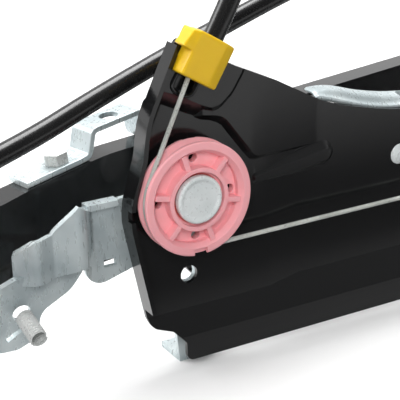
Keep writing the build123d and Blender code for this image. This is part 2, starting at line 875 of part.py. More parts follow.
def drum():
    """Grooved cable drum with the splined socket that the motor drives."""
    floor = drum_cable_radius - cable_radius - side_gap
    flange = drum_cable_radius + 3.0
    shape = [(spindle_radius + running_gap, -drum_half), (flange, -drum_half), (flange, -drum_half + 1.4)]
    grooves = 4
    pitch = (2 * drum_half - 3.4) / grooves
    start = -drum_half + 1.7
    shape.append((floor + 0.9, start))
    for turn in range(grooves):
        shape.append((floor, start + pitch * (turn + 0.5)))
        shape.append((floor + 0.9, start + pitch * (turn + 1)))
    shape += [
        (flange, drum_half - 1.4),
        (flange, drum_half),
        (socket_outer, drum_half),
        (socket_outer, drum_half + socket_proud),
        (socket_radius, drum_half + socket_proud),
        (socket_radius, drum_half - socket_depth),
        (spindle_radius + running_gap, drum_half - socket_depth),
    ]
    body = ring_solid(shape)
    inside = drum_half - socket_depth
    spline = block(socket_radius - 1.3, socket_radius + 1, inside, drum_half + socket_proud, -0.9, 0.9)
    for turn in range(6):
        body += Rot(0, 60 * turn, 0) * spline
    for turn in range(6):
        body -= Rot(0, 60 * turn + 30, 0) * across(2.4, 14.5, 0, -drum_half - 1, drum_half - 3)
    return body


def port_ends():
    """Outer end of both conduit ports in the drum's frame."""
    turn = math.radians(port_angle)
    out = Vector(math.cos(turn), 0, math.sin(turn))
    side = Vector(math.sin(turn), 0, -math.cos(turn))
    upper = out * port_reach + side * drum_cable_radius
    lower = out * port_reach - side * drum_cable_radius
    return upper, lower, out


def bolt_places():
    """Centres of the three motor bolts round the drum."""
    places = []
    for turn in range(3):
        angle = math.radians(motor_turn + 120 * turn)
        places.append((motor_bolt_circle * math.cos(angle), motor_bolt_circle * math.sin(angle)))
    return places


def cover_screw_places():
    """Centres of the three cover screws, halfway between the motor bolts."""
    reach = housing_inner + cover_screw_head + 1
    places = []
    for turn in range(3):
        angle = math.radians(motor_turn + 60 + 120 * turn)
        places.append((reach * math.cos(angle), reach * math.sin(angle)))
    return places


def motor_arms(y0, y1, half_width):
    """Three arms from the housing's rim to the motor bosses."""
    rim = housing_inner + housing_wall - 1.5
    arm = block(rim, motor_bolt_circle, y0, y1, -half_width, half_width)
    return [Rot(0, -(motor_turn + 120 * turn), 0) * arm for turn in range(3)]


def drum_housing():
    """Moulded cup that carries the drum on a spindle, with two conduit ports and three motor bosses."""
    outer = housing_inner + housing_wall
    inner_floor = housing_front + housing_floor
    spindle_end = drum_half - socket_depth - 0.5
    shape = [
        (0, housing_front),
        (outer - 2, housing_front),
        (outer, housing_front + 2),
        (outer, housing_back),
        (housing_inner, housing_back),
        (housing_inner, inner_floor),
        (spindle_radius, inner_floor),
        (spindle_radius, spindle_end),
        (0, spindle_end),
    ]
    body = ring_solid(shape)
    chamber = across(housing_inner, 0, 0, inner_floor, housing_back + 5)
    upper, lower, out = port_ends()
    ports = [Plane(origin=end, z_dir=-out).location for end in (upper, lower)]
    for port in ports:
        body += port * Pos(0, 0, 14) * Cylinder(port_radius, 28) - chamber
    for arm in motor_arms(housing_back - 10, housing_back - 3, 3):
        body += arm
    for x, z in bolt_places():
        body += across(boss_radius, x, z, housing_back - 10, housing_back)
        body -= across(motor_bolt_radius, x, z, housing_back - 12, housing_back + 1)
    for x, z in cover_screw_places():
        body += across(cover_screw_head + 0.8, x, z, housing_back - 12, housing_back) - chamber
        body -= across(cover_screw_radius + running_gap, x, z, housing_back - 9, housing_back + 1)
    foot = floor_level - drum_centre[2]
    body += block(-26, 26, housing_front + 1, housing_back, foot, foot + 3)
    legs = block(-20, -17, housing_front + 1, housing_back, foot, -18)
    legs += block(17, 20, housing_front + 1, housing_back, foot, -18)
    body += legs - across(housing_inner + 1, 0, 0, housing_front, housing_back + 1)
    for port in ports:
        body -= port * Pos(0, 0, port_depth / 2) * Cylinder(conduit_radius + running_gap, port_depth)
        body -= port * Pos(0, 0, 20) * Cylinder(cable_radius + 0.6, 44)
    return body


def housing_cover():
    """Plate on the motor side that keeps the drum in and centres its socket."""
    face = housing_back + cover_sheet
    body = across(housing_inner + housing_wall, 0, 0, housing_back, face)
    for arm in motor_arms(housing_back, face, 4):
        body += arm
    for x, z in bolt_places():
        body += across(boss_radius, x, z, housing_back, face)
        body -= across(motor_bolt_radius, x, z, housing_back - 1, face + 1)
    for x, z in cover_screw_places():
        body += across(cover_screw_head + 0.8, x, z, housing_back, face)
        body -= across(cover_screw_radius + running_gap, x, z, housing_back - 1, face + 1)
    return body - across(socket_outer + side_gap, 0, 0, housing_back - 1, face + 1)


def cover_screws():
    """Three pan-head screws that hold the cover."""
    face = housing_back + cover_sheet
    shape = [
        (0, face + 1.3),
        (1.0, face + 1.3),
        (cover_screw_head - 0.5, face + 1.2),
        (cover_screw_head, face + 0.6),
        (cover_screw_head, face),
        (cover_screw_radius, face),
        (cover_screw_radius, housing_back - 7.5),
        (0.6, housing_back - 8.5),
        (0, housing_back - 8.5),
    ]
    return group([ring_solid(shape, x, z) for x, z in cover_screw_places()])


def rounded_route(points):
    """Straight runs joined by arcs as large as each corner's shorter run allows."""
    radii = []
    for i in range(1, len(points) - 1):
        before = Vector(*points[i]) - Vector(*points[i - 1])
        after = Vector(*points[i + 1]) - Vector(*points[i])
        turn = before.get_angle(after)
        radii.append(0.45 * min(before.length, after.length) / math.tan(math.radians(turn) / 2))
    return FilletPolyline(*points, radius=radii), radii


def tube(points, radius):
    path, radii = rounded_route(points)
    first = Vector(*points[1]) - Vector(*points[0])
    solid = sweep(Plane(points[0], z_dir=first) * Circle(radius), path)
    ideal = math.pi * radius**2 * path.length
    print("tube length", round(path.length, 1), "volume share", round(solid.volume / ideal, 4))
    print("  radii", [round(r) for r in radii])
    return solid


rear_frame = Location((rear_origin[0], rear_origin[1], 0)) * Rot(0, 0, rear_turn)


def place_front(shape):
    """The front rail's pieces are made where they belong."""
    return shape


def place_rear(shape):
    """Mirror image of a kit piece, turned and set behind the front rail."""
    return rear_frame * mirror(shape, Plane.YZ)


def place_drum(shape):
    return Location(drum_centre) * shape


def kit():
    """Every piece of one rail, by name, in the rail's own frame."""
    wheel = pulley()
    rivet = pulley_rivet()
    return {
        "rail": rail(),
        "horn_pulley": Pos(0, 0, pulley_height) * wheel,
        "tail_pulley": Pos(pulley_spacing, 0, pulley_height) * Rot(0, 180, 0) * wheel,
        "horn_pulley_rivet": Pos(0, 0, pulley_height) * rivet,
        "tail_pulley_rivet": Pos(pulley_spacing, 0, pulley_height) * rivet,
        "horn_clip": horn_clip(),
        "tail_clip": tail_clip(),
        "stud_bracket": stud_bracket(),
        "mounting_stud": mounting_stud(),
        "top_bracket": top_bracket(),
        "tail_bracket": tail_bracket(),
        "hump_bracket": hump_bracket(),
        "hump_bolt": hump_bolt(),
        "bracket_rivets": bracket_rivets(),
        "cable": cable(),
    }


def carrier_kit():
    return {
        "carrier_slider": carrier_body(),
        "carrier_plate": carrier_plate(),
        "carrier_screws": carrier_screws(),
        "cable_nipples": cable_nipples(),
    }


def front_point(point):
    return point


def rear_point(point):
    """Where a point of the kit frame ends up on the rear rail."""
    return (rear_frame * Pos(-point.X, point.Y, point.Z)).position


pieces = {}
rail_pieces = kit()
carrier_pieces = carrier_kit()
for side, place, rest in (("front", place_front, front_rest), ("rear", place_rear, rear_rest)):
    for name, shape in rail_pieces.items():
        pieces[side + "_" + name] = place(shape)
    for name, shape in carrier_pieces.items():
        pieces[side + "_" + name] = place(Pos(rest, 0, 0) * shape)

pieces["cable_drum"] = place_drum(drum())
pieces["drum_housing"] = place_drum(drum_housing())
pieces["housing_cover"] = place_drum(housing_cover())
pieces["cover_screws"] = place_drum(cover_screws())

port_upper, port_lower, port_out = port_ends()
drum_place = Vector(*drum_centre)


def clip_end(locate):
    """Start of the conduit inside the horn clip and a second point straight out of it."""
    mouth = conduit_mouth().origin
    out = clip_frame().x_dir
    return locate(mouth), locate(mouth + out * 26)


def tail_end(locate):
    """Start of conduit 2 inside the tail clip and a second point straight out of it."""
    leave, away = tail_line()
    start = leave + away * (tail_clip_start + 3)
    return locate(start), locate(start + away * 26)


def port_end(end):
    """Where a conduit sits in a port of the housing, and a second point straight out of it."""
    start = drum_place + end - port_out * port_depth
    return start, start + port_out * (port_depth + 22)


front_start, front_out = clip_end(front_point)
rear_start, rear_out = clip_end(rear_point)
front_tail, front_tail_out = tail_end(front_point)
rear_tail, rear_tail_out = tail_end(rear_point)
upper_in, upper_out = port_end(port_upper)
lower_in, lower_out = port_end(port_lower)

routes = {
    "conduit_1": [
        front_start,
        front_out,
        (36, 4, 126),
        (62, 24, 156),
        (102, 52, 184),
        (155, 86, 206),
        (215, 120, 214),
        (280, 150, 208),
        (343, 176, 184),
        (398, 198, 148),
        (440, 210, 106),
        upper_out,
        upper_in,
    ],
    "conduit_2": [
        rear_tail,
        rear_tail_out,
        (-26, 9.5, 66),
        (20, 19.2, 78),
        (68, 25, 91),
        (122, 25, 103),
        (180, 22, 112),
        (240, 16, 117),
        (300, 9, 116),
        (358, 3, 106),
        (412, -2, 90),
        (464, -5, 72),
        front_tail_out,
        front_tail,
    ],
    "conduit_3": [
        rear_start,
        rear_out,
        (410, 128, 124),
        (390, 150, 139),
        (377, 186, 132),
        (383, 210, 106),
        (404, 215, 78),
        lower_out,
        lower_in,
    ],
}

for name, points in routes.items():
    pieces[name] = tube([Vector(*point) for point in points], conduit_radius)

for name, shape in pieces.items():
    export_step(shape, "parts/" + name + ".step")
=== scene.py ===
# %% [markdown]
# # A cable window regulator
# The part is the mechanism that lifts the glass of a car door. Its two pressed rails lie close together.
# Pulleys, cables, conduits and zinc brackets sit on them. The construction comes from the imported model, and
# this lesson dresses it: paint, zinc, moulded plastic, wire rope, threads and conduits. Every object is in
# metres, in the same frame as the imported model. Lengths that are written in millimetres are multiplied by mm.

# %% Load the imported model
import bpy
import json
import math
from mathutils import Matrix, Vector


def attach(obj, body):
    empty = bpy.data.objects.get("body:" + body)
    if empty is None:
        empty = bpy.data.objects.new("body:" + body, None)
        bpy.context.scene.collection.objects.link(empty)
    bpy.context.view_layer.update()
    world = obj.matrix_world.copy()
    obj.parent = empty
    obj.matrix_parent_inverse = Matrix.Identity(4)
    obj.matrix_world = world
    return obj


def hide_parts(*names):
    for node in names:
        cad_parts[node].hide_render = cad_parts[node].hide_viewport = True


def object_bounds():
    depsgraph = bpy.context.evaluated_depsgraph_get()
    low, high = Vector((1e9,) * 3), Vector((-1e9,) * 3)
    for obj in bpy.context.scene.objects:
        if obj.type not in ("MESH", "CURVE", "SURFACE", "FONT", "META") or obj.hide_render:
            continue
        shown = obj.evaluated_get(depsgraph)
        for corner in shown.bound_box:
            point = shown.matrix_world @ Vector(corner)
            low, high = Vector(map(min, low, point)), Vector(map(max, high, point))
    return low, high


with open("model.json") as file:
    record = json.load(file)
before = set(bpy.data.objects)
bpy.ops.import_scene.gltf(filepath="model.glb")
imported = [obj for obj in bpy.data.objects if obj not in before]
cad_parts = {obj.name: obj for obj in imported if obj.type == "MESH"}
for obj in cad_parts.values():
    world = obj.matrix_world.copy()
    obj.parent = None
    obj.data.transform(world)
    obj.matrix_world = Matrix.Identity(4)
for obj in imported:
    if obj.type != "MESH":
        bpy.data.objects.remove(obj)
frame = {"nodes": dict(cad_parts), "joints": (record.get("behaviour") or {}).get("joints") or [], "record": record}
nodes = frame["nodes"]
cad_low, cad_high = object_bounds()
mm = 0.001
print("nodes", len(nodes), "box", [round(v, 3) for v in cad_high - cad_low])

# %% [markdown]
# ## The rear rail's place
# The rear kit is the mirror image of the front one, turned a little about the upright axis. Its turn comes
# from the direction in which its carrier slides, and its origin from its datum hole. One matrix then takes
# any piece from the front rail to the rear one.

# %% Matrix from the front rail to the rear rail
mounts = {mount["name"]: mount for mount in frame["record"]["mounts"]}
joints = {joint["name"]: joint for joint in frame["joints"]}
rear_axis = Vector(joints["rear_carrier_slide"]["axis"])
rear_turn = math.atan2(rear_axis.y, rear_axis.x)
hole_depth = Vector((0, mounts["rear_datum_hole"]["dims"]["length_mm"] * mm / 2, 0))
turn = Matrix.Rotation(rear_turn, 4, "Z")
rear_origin = Vector(mounts["rear_datum_hole"]["pos_m"]) - turn @ hole_depth
to_rear = Matrix.Translation(rear_origin) @ turn @ Matrix.Diagonal((-1, 1, 1, 1))
print("rear turn", round(math.degrees(rear_turn), 2), "origin", [round(v, 4) for v in rear_origin])

# %% [markdown]
# ## The camera
# The view is from the front left, a little above the part. The camera's place, turn and focal length were
# fitted to points in the photograph. A long lens keeps the rails' edges nearly parallel.

# %% Camera
camera_place = Vector((-199.1, -371.5, 187.3)) * mm
camera_right = Vector((0.87027, -0.49166, -0.02988))
camera_up = Vector((0.19899, 0.29545, 0.93440))
camera_back = camera_right.cross(camera_up)
camera_data = bpy.data.cameras.new("camera")
camera_data.lens = 119.7
camera_data.sensor_width = 36
camera_data.clip_start = 0.01
camera = bpy.data.objects.new("camera", camera_data)
bpy.context.scene.collection.objects.link(camera)
columns = Matrix((camera_right, camera_up, camera_back)).transposed()
camera.matrix_world = Matrix.Translation(camera_place) @ columns.to_4x4()
bpy.context.scene.camera = camera
bpy.context.scene.view_settings.view_transform = "Standard"


# %% [markdown]
# ## Small helpers
# Operators act on what is selected, so a helper clears the selection and makes one object active. A
# material starts as a Principled shader, and a second helper adds noise that reads Object coordinates, so
# that a pattern stays on its piece from every side.

# %% Helpers for selection and materials
def choose(piece):
    if bpy.context.object and bpy.context.object.mode != "OBJECT":
        bpy.ops.object.mode_set(mode="OBJECT")
    bpy.ops.object.select_all(action="DESELECT")
    bpy.context.view_layer.objects.active = piece
    piece.select_set(True)
    return piece


def principled(name, color, roughness, metallic=0.0):
    material = bpy.data.materials.new(name)
    material.use_nodes = True
    shader = material.node_tree.nodes["Principled BSDF"]
    shader.inputs["Base Color"].default_value = (*color, 1)
    shader.inputs["Roughness"].default_value = roughness
    shader.inputs["Metallic"].default_value = metallic
    return material, shader


def noise(material, scale, detail=3.0, stretch=(1, 1, 1)):
    """Noise on the piece's own coordinates, its scale in waves per metre."""
    tree = material.node_tree
    place = tree.nodes.new("ShaderNodeTexCoord")
    mapping = tree.nodes.new("ShaderNodeMapping")
    mapping.inputs["Scale"].default_value = stretch
    texture = tree.nodes.new("ShaderNodeTexNoise")
    texture.inputs["Scale"].default_value = scale
    texture.inputs["Detail"].default_value = detail
    tree.links.new(place.outputs["Object"], mapping.inputs["Vector"])
    tree.links.new(mapping.outputs["Vector"], texture.inputs["Vector"])
    return texture


def ramp(material, source, stops):
    """Colour ramp from a noise value, from (place, colour) stops."""
    node = material.node_tree.nodes.new("ShaderNodeValToRGB")
    elements = node.color_ramp.elements
    while len(elements) < len(stops):
        elements.new(0.5)
    for element, (place, color) in zip(elements, stops):
        element.position = place
        element.color = (*color, 1)
    material.node_tree.links.new(source, node.inputs["Fac"])
    return node


noise_low = 0.3
noise_high = 0.7


def vary(material, shader, socket, source, low, high):
    """Drives a number of the shader from a noise value, between two limits."""
    node = material.node_tree.nodes.new("ShaderNodeMapRange")
    node.inputs["From Min"].default_value = noise_low
    node.inputs["From Max"].default_value = noise_high
    node.inputs["To Min"].default_value = low
    node.inputs["To Max"].default_value = high
    material.node_tree.links.new(source, node.inputs["Value"])
    material.node_tree.links.new(node.outputs["Result"], shader.inputs[socket])


def bump(material, shader, source, distance, strength=1.0):
    node = material.node_tree.nodes.new("ShaderNodeBump")
    node.inputs["Distance"].default_value = distance
    node.inputs["Strength"].default_value = strength
    material.node_tree.links.new(source, node.inputs["Height"])
    material.node_tree.links.new(node.outputs["Normal"], shader.inputs["Normal"])


# %% [markdown]
# ## Gloss black enamel
# The rails are pressed steel with a gloss black coat. The coat is smooth and mirrors what stands round it, so
# the black is pale grey where it mirrors something pale. A low roughness does most of the work. Slow noise
# gives it a faint orange peel, and fine noise a little dust in the sheen.

# %% Enamel
enamel_black = (0.006, 0.0062, 0.0066)
enamel_roughness = (0.09, 0.20)
peel_waves = 160
peel_depth = 0.00006
dust_waves = 2600


def black_enamel():
    material, shader = principled("black_enamel", enamel_black, 0.16)
    peel = noise(material, peel_waves, 2.0)
    dust = noise(material, dust_waves, 2.0)
    vary(material, shader, "Roughness", dust.outputs["Fac"], *enamel_roughness)
    bump(material, shader, peel.outputs["Fac"], peel_depth, 0.35)
    return material


# %% [markdown]
# ## Zinc
# The brackets are stamped from sheet and then zinc plated. The coat is bluish grey, a little cloudy, with
# drawing marks from the press. Fresh zinc has fine crystals that scatter the light, so the shader is only
# partly metallic. Two noises change its roughness and colour, one wide and cloudy, and one fine, which is
# drawn out into short scratches on the brackets.

# %% Zinc finishes
cloud_waves = 70
scratch_waves = 700
scratch_depth = 0.00002


def zinc(name, dark, light, rough, metallic=0.6, scratch=(1, 1, 1)):
    material, shader = principled(name, light, rough, metallic)
    cloud = noise(material, cloud_waves, 2.5)
    scratches = noise(material, scratch_waves, 2.0, scratch)
    tint = ramp(material, cloud.outputs["Fac"], [(0.32, dark), (0.68, light)])
    material.node_tree.links.new(tint.outputs["Color"], shader.inputs["Base Color"])
    vary(material, shader, "Roughness", scratches.outputs["Fac"], rough - 0.08, rough + 0.14)
    bump(material, shader, scratches.outputs["Fac"], scratch_depth, 0.3)
    return material


# %% [markdown]
# ## Moulded plastics
# The pulleys are finished as pink acetal, the clips as yellow nylon, and the sliders and drum as natural
# acetal. Which plastics the real ones are is a guess. Moulded plastic is slightly cloudy below its surface,
# so a little subsurface light softens the edges. The conduits' sheaths and the drum's housing are black.

# %% Plastics
flow_waves = 70
glow_tints = (1.0, 0.5, 0.4)
glow_reach = 0.0015


def plastic(name, color, shade, rough, grain, depth, glow=0.0):
    material, shader = principled(name, color, rough)
    flow = noise(material, flow_waves, 3.0)
    fine = noise(material, grain, 3.0)
    tint = ramp(material, flow.outputs["Fac"], [(0.3, shade), (0.7, color)])
    material.node_tree.links.new(tint.outputs["Color"], shader.inputs["Base Color"])
    vary(material, shader, "Roughness", fine.outputs["Fac"], rough - 0.07, rough + 0.09)
    bump(material, shader, fine.outputs["Fac"], depth, 0.4)
    shader.inputs["Subsurface Weight"].default_value = glow
    shader.inputs["Subsurface Radius"].default_value = glow_tints
    shader.inputs["Subsurface Scale"].default_value = glow_reach
    return material


finishes = {
    "black_paint": black_enamel(),
    "pulley_plastic": plastic(
        "pink_acetal", (0.92, 0.43, 0.46), (0.89, 0.40, 0.43), 0.36, 1500, 0.00002, 0.15,
    ),
    "clip_plastic": plastic(
        "yellow_nylon", (0.74, 0.47, 0.008), (0.68, 0.42, 0.007), 0.36, 1800, 0.00003, 0.1,
    ),
    "zinc_steel": zinc("zinc_plate", (0.44, 0.51, 0.53), (0.68, 0.75, 0.76), 0.30, 0.5, (1, 1, 0.25)),
    "rivet_zinc": zinc("zinc_rivet", (0.66, 0.71, 0.71), (0.88, 0.91, 0.91), 0.30, 0.2),
    "bolt_steel": zinc("zinc_bolt", (0.58, 0.60, 0.59), (0.78, 0.80, 0.79), 0.28, 0.4),
    "cable_steel": zinc("wire_rope", (0.50, 0.52, 0.49), (0.78, 0.80, 0.76), 0.34, 0.35),
    "nipple_zinc": zinc("cast_zinc", (0.48, 0.49, 0.50), (0.62, 0.63, 0.64), 0.45),
    "slider_plastic": plastic(
        "natural_acetal", (0.76, 0.75, 0.70), (0.70, 0.69, 0.64), 0.42, 1200, 0.00003, 0.15,
    ),
    "drum_plastic": plastic(
        "drum_acetal", (0.78, 0.77, 0.73), (0.72, 0.71, 0.67), 0.42, 1200, 0.00003, 0.15,
    ),
    "housing_plastic": plastic(
        "black_nylon", (0.022, 0.022, 0.023), (0.030, 0.030, 0.031), 0.45, 1400, 0.00006,
    ),
    "conduit_plastic": plastic(
        "black_sheath", (0.006, 0.006, 0.0064), (0.009, 0.009, 0.009), 0.22, 1600, 0.00002,
    ),
}
slot_of = {entry["node"]: entry["material_slot"] for entry in frame["record"]["subparts"]}
print("finishes", len(finishes))

# %% [markdown]
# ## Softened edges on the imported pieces
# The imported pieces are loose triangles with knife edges. Real pressings and mouldings have small round
# edges that catch the light. A weld joins the triangles, a small bevel rounds what is sharp, and weighted
# normals keep the flat faces flat. These are modifiers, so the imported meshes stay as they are.

# %% Weld, bevel and normals
edge_of = {
    "rail": 0.35, "pulley": 0.3, "clip": 0.5, "bracket": 0.35, "rivet": 0.25, "slider": 0.5, "housing": 0.5,
}
plain_edge = 0.25
weld_reach = 0.000002
sharp_angle = math.radians(28)


def soften(piece, width):
    weld = piece.modifiers.new("weld", "WELD")
    weld.merge_threshold = weld_reach
    bevel = piece.modifiers.new("bevel", "BEVEL")
    bevel.width = width * mm
    bevel.segments = 2
    bevel.limit_method = "ANGLE"
    bevel.angle_limit = sharp_angle
    bevel.use_clamp_overlap = True
    bevel.harden_normals = False
    normals = piece.modifiers.new("normals", "WEIGHTED_NORMAL")
    normals.keep_sharp = True
    normals.weight = 80


for name, piece in nodes.items():
    piece.data.materials.clear()
    piece.data.materials.append(finishes[slot_of[name]])
    piece.data.shade_smooth()
    width = plain_edge
    for word, value in edge_of.items():
        if word in name:
            width = value
    soften(piece, width)
print("softened", len(nodes))

# %% [markdown]
# ## Ring round each rivet
# In the photograph the pulley is deep red in a narrow ring round its rivet, where its counterbore lies in
# shade. That shade is painted: the ring is a second, deeper colour in the pulley's material, chosen by the
# distance from the pulley's centre. Each pulley has its own centre, so it gets its own copy of the material.

# %% Painted counterbore shade
shade_ring_reach = 0.0114
shade_ring_blur = 0.0004
# painted shade: the deep red that stands for the shaded counterbore round the rivet
painted_shade_red = (0.50, 0.06, 0.05)


def paint_counterbore_shade(material, shader, centre, bore, shade_tint):
    """Paints shade into a material: a deeper colour within a distance of a pulley's centre."""
    tree = material.node_tree
    place = tree.nodes.new("ShaderNodeTexCoord")
    middle = tree.nodes.new("ShaderNodeVectorMath")
    middle.operation = "DISTANCE"
    middle.inputs[1].default_value = centre
    inside = tree.nodes.new("ShaderNodeMapRange")
    inside.inputs["From Min"].default_value = bore
    inside.inputs["From Max"].default_value = bore + shade_ring_blur
    tint = tree.nodes.new("ShaderNodeMix")
    tint.data_type = "RGBA"
    tint.inputs["A"].default_value = (*shade_tint, 1)
    before = shader.inputs["Base Color"].links[0].from_socket
    tree.links.new(place.outputs["Object"], middle.inputs[0])
    tree.links.new(middle.outputs["Value"], inside.inputs["Value"])
    tree.links.new(inside.outputs["Result"], tint.inputs["Factor"])
    tree.links.new(before, tint.inputs["B"])
    tree.links.new(tint.outputs["Result"], shader.inputs["Base Color"])


for joint in frame["joints"]:
    name = joint["child"]
    if name.endswith("_pulley"):
        # each pulley's copy of the material gets the painted counterbore shade round its rivet
        shade_ringed = finishes["pulley_plastic"].copy()
        shade_ringed.name = name + "_acetal"
        paint_counterbore_shade(shade_ringed, shade_ringed.node_tree.nodes["Principled BSDF"], joint["pos_m"], shade_ring_reach, painted_shade_red)
        nodes[name].data.materials[0] = shade_ringed

# %% [markdown]
# ## Conduits
# A conduit is a stiff plastic tube in which the cable runs. It leaves its clip in the clip's own
# direction and arches freely to the next one. Its line is one smooth spline that listed points pull into
# shape, and the round section comes from the curve's bevel.

# %% Route ends from the clips' places
cable_depth = -6.0
clip_centre = Vector((4.8, cable_depth, 77.3))
clip_lean = math.radians(58)
clip_out = Vector((math.cos(clip_lean), 0, math.sin(clip_lean)))
mouth_depth = 0.5
pulley_gap = joints["front_tail_pulley_spin"]["pos_m"][0] / mm
pulley_height = 30.5
wrap_radius = 18.6
tail_turn = math.radians(10.2)
tail_leave = Vector((
    pulley_gap + wrap_radius * math.sin(tail_turn),
    cable_depth,
    pulley_height + wrap_radius * math.cos(tail_turn),
))
tail_away = Vector((-math.cos(tail_turn), 0, math.sin(tail_turn)))
drum_centre = Vector(joints["cable_drum_spin"]["pos_m"]) / mm
port_lean = math.radians(135)
port_out = Vector((math.cos(port_lean), 0, math.sin(port_lean)))
drum_radius = 22
port_side = Vector((port_out.z, 0, -port_out.x)) * drum_radius
port_reach = 40
port_inset = 12
port_run = 34
exit_run = 26
tail_clip_reach = 22


def rear_mm(point):
    return to_rear @ (point * mm) / mm


mouth = clip_centre - clip_out * mouth_depth
tail_start = tail_leave + tail_away * tail_clip_reach
front_start, front_out = mouth, mouth + clip_out * exit_run
rear_start, rear_out = rear_mm(mouth), rear_mm(mouth + clip_out * exit_run)
front_tail, front_tail_out = tail_start, tail_start + tail_away * exit_run
rear_tail, rear_tail_out = rear_mm(tail_start), rear_mm(tail_start + tail_away * exit_run)
upper_in = drum_centre + port_out * (port_reach - port_inset) + port_side
upper_out = upper_in + port_out * port_run
lower_in = drum_centre + port_out * (port_reach - port_inset) - port_side
lower_out = lower_in + port_out * port_run

# %% Routes, in millimetres
routes = {
    "conduit_1": [
        front_start, front_out, (36, 4, 126), (62, 24, 156), (102, 52, 184), (155, 86, 206),
        (215, 120, 214), (280, 150, 208), (343, 176, 184), (398, 198, 148), (440, 210, 106),
        upper_out, upper_in,
    ],
    "conduit_2": [
        rear_tail, rear_tail_out, (-26, 9.5, 66), (20, 19.2, 78), (68, 25, 91), (122, 25, 103),
        (180, 22, 112), (240, 16, 117), (300, 9, 116), (358, 3, 106), (412, -2, 90), (464, -5, 72),
        front_tail_out, front_tail,
    ],
    "conduit_3": [
        rear_start, rear_out, (410, 128, 124), (390, 150, 139), (377, 186, 132), (383, 210, 106),
        (404, 215, 78), lower_out, lower_in,
    ],
}
conduit_radius = 3.5


# %% A cord as one smooth spline
def spline_curve(name, points, radius):
    curve = bpy.data.curves.new(name, "CURVE")
    curve.dimensions = "3D"
    curve.resolution_u = 12
    curve.bevel_depth = radius * mm
    curve.bevel_resolution = 6
    curve.use_fill_caps = True
    spline = curve.splines.new("NURBS")
    spline.points.add(len(points) - 1)
    for slot, point in zip(spline.points, points):
        slot.co = (*(Vector(point) * mm), 1)
    spline.order_u = 3
    spline.use_endpoint_u = True
    piece = bpy.data.objects.new(name, curve)
    bpy.context.scene.collection.objects.link(piece)
    return piece


def spline_length(points):
    """Length of the spline, read from a copy with no bevel."""
    bare = spline_curve("measure", points, 0)
    mesh = bpy.data.meshes.new_from_object(bare)
    line = [vertex.co.copy() for vertex in mesh.vertices]
    bpy.data.objects.remove(bare)
    return sum((b - a).length for a, b in zip(line, line[1:]))


for name, points in routes.items():
    length = spline_length(points)
    piece = spline_curve(name + "_sheath", points, conduit_radius)
    piece.data.materials.append(finishes["conduit_plastic"])
    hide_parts(name)
    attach(piece, "root")
    print(name, "length", round(length, 4))

# %% [markdown]
# ## Wire rope
# The cable is a wire rope, wound from strands that twist round each other. A tube with a picture of
# strands on it would look flat close up, so each strand is a thin tube of its own that winds round the
# cable's path. The path is worked out from the pulleys: straight runs, and an arc round each wheel. The rope
# is one rigid piece, so it stays still when a carrier slides.

# %% Path of one rail's cable
cable_radius = 0.85
cable_step = 0.6
horn_turn = math.radians(64.6)
horn_way = Vector((math.cos(horn_turn), 0, math.sin(horn_turn)))
horn_wheel = Vector((0, cable_depth, pulley_height))
tail_wheel = Vector((pulley_gap, cable_depth, pulley_height))
horn_run = 38
tail_run = 21
wheel_foot = 3 * math.pi / 2


def on_wheel(centre, angle):
    return centre + Vector((math.cos(angle), 0, math.sin(angle))) * wrap_radius


def straight(start, end):
    count = max(2, round((end - start).length / cable_step))
    return [start.lerp(end, i / count) for i in range(count)]


def arc(centre, first, last):
    count = max(2, round(abs(last - first) * wrap_radius / cable_step))
    return [on_wheel(centre, first + (last - first) * i / count) for i in range(count)]


horn_leave = on_wheel(horn_wheel, horn_turn + math.pi / 2)
rope_top = horn_leave + horn_way * horn_run
path = straight(rope_top, horn_leave)
path += arc(horn_wheel, horn_turn + math.pi / 2, wheel_foot)
path += straight(on_wheel(horn_wheel, wheel_foot), on_wheel(tail_wheel, wheel_foot))
path += arc(tail_wheel, -math.pi / 2, math.pi / 2 - tail_turn)
path += straight(tail_leave, tail_leave + tail_away * tail_run)
print("cable path", len(path), "points")

# %% Strands wound round the path
strand_count = 6
strand_radius = 0.25
lay_length = 5.2


def wire_rope(name, path):
    curve = bpy.data.curves.new(name, "CURVE")
    curve.dimensions = "3D"
    curve.bevel_depth = strand_radius * mm
    curve.bevel_resolution = 1
    curve.use_fill_caps = True
    across = Vector((0, 1, 0))
    for strand in range(strand_count + 1):
        line = curve.splines.new("POLY")
        line.points.add(len(path) - 1)
        travelled = 0.0
        for i, point in enumerate(path):
            ahead = path[min(i + 1, len(path) - 1)] - path[max(i - 1, 0)]
            side = ahead.normalized().cross(across)
            angle = 2 * math.pi * (travelled / lay_length + strand / strand_count)
            reach = cable_radius - strand_radius if strand < strand_count else 0
            place = point + (side * math.cos(angle) + across * math.sin(angle)) * reach
            line.points[i].co = (*(place * mm), 1)
            if i + 1 < len(path):
                travelled += (path[i + 1] - point).length
    piece = bpy.data.objects.new(name, curve)
    bpy.context.scene.collection.objects.link(piece)
    choose(piece)
    bpy.ops.object.convert(target="MESH")
    return bpy.context.object


def rear_copy(piece, name):
    """Mirror-image copy of a front piece on the rear rail, with its faces turned back outwards."""
    copy = bpy.data.objects.new(name, piece.data.copy())
    bpy.context.scene.collection.objects.link(copy)
    copy.data.transform(to_rear)
    copy.data.flip_normals()
    return copy


def crisp(piece, degrees):
    """Shades a piece smooth, but leaves edges sharp that turn by more than an angle."""
    piece.data.shade_smooth()
    choose(piece)
    bpy.ops.object.shade_smooth_by_angle(angle=math.radians(degrees))


def dress(piece, slot, body, *replaced):
    piece.data.materials.clear()
    piece.data.materials.append(finishes[slot])
    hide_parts(*replaced)
    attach(piece, body)
    print(piece.name, "faces", len(piece.data.polygons))


front_rope = wire_rope("front_wire_rope", path)
front_rope.data.shade_smooth()
rear_rope = rear_copy(front_rope, "rear_wire_rope")
dress(front_rope, "cable_steel", "root", "front_cable")
dress(rear_rope, "cable_steel", "root", "rear_cable")

# %% [markdown]
# ## Horn clip
# The yellow end piece of the conduit is moulded, so every edge is round and its faces are a little full. It
# starts as three blocks: the cap, the hook that grips the side flange and the bridge over the edge of the
# horn. They are joined, remeshed into one skin and smoothed.

